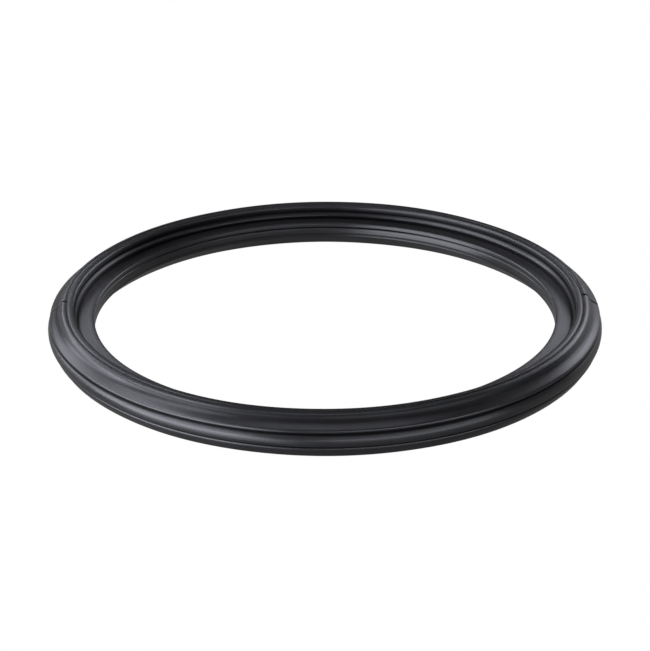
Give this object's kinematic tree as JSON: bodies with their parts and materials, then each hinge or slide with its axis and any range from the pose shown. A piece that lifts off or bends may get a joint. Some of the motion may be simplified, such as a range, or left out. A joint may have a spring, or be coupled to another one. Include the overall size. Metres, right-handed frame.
{
  "type": "pressure cooker lid sealing ring",
  "caption": "Black moulded rubber lid gasket for a stovetop pressure cooker: rounded crown, grooved and beaded outer side, sloping inner lip and an open centre.",
  "frame": {"origin": "centre of the ring, on the plane that its base rests on", "axes": "+Z along the ring's axis, from the base towards the crown; +X through one of the two places where the halves of the outer mould meet"},
  "size_m": [0.24, 0.24, 0.0174],
  "materials": {
    "rubber": "satin, moulded"
  },
  "bodies": {
    "root": {"sealing_ring": "rubber"}
  },
  "joints": []
}
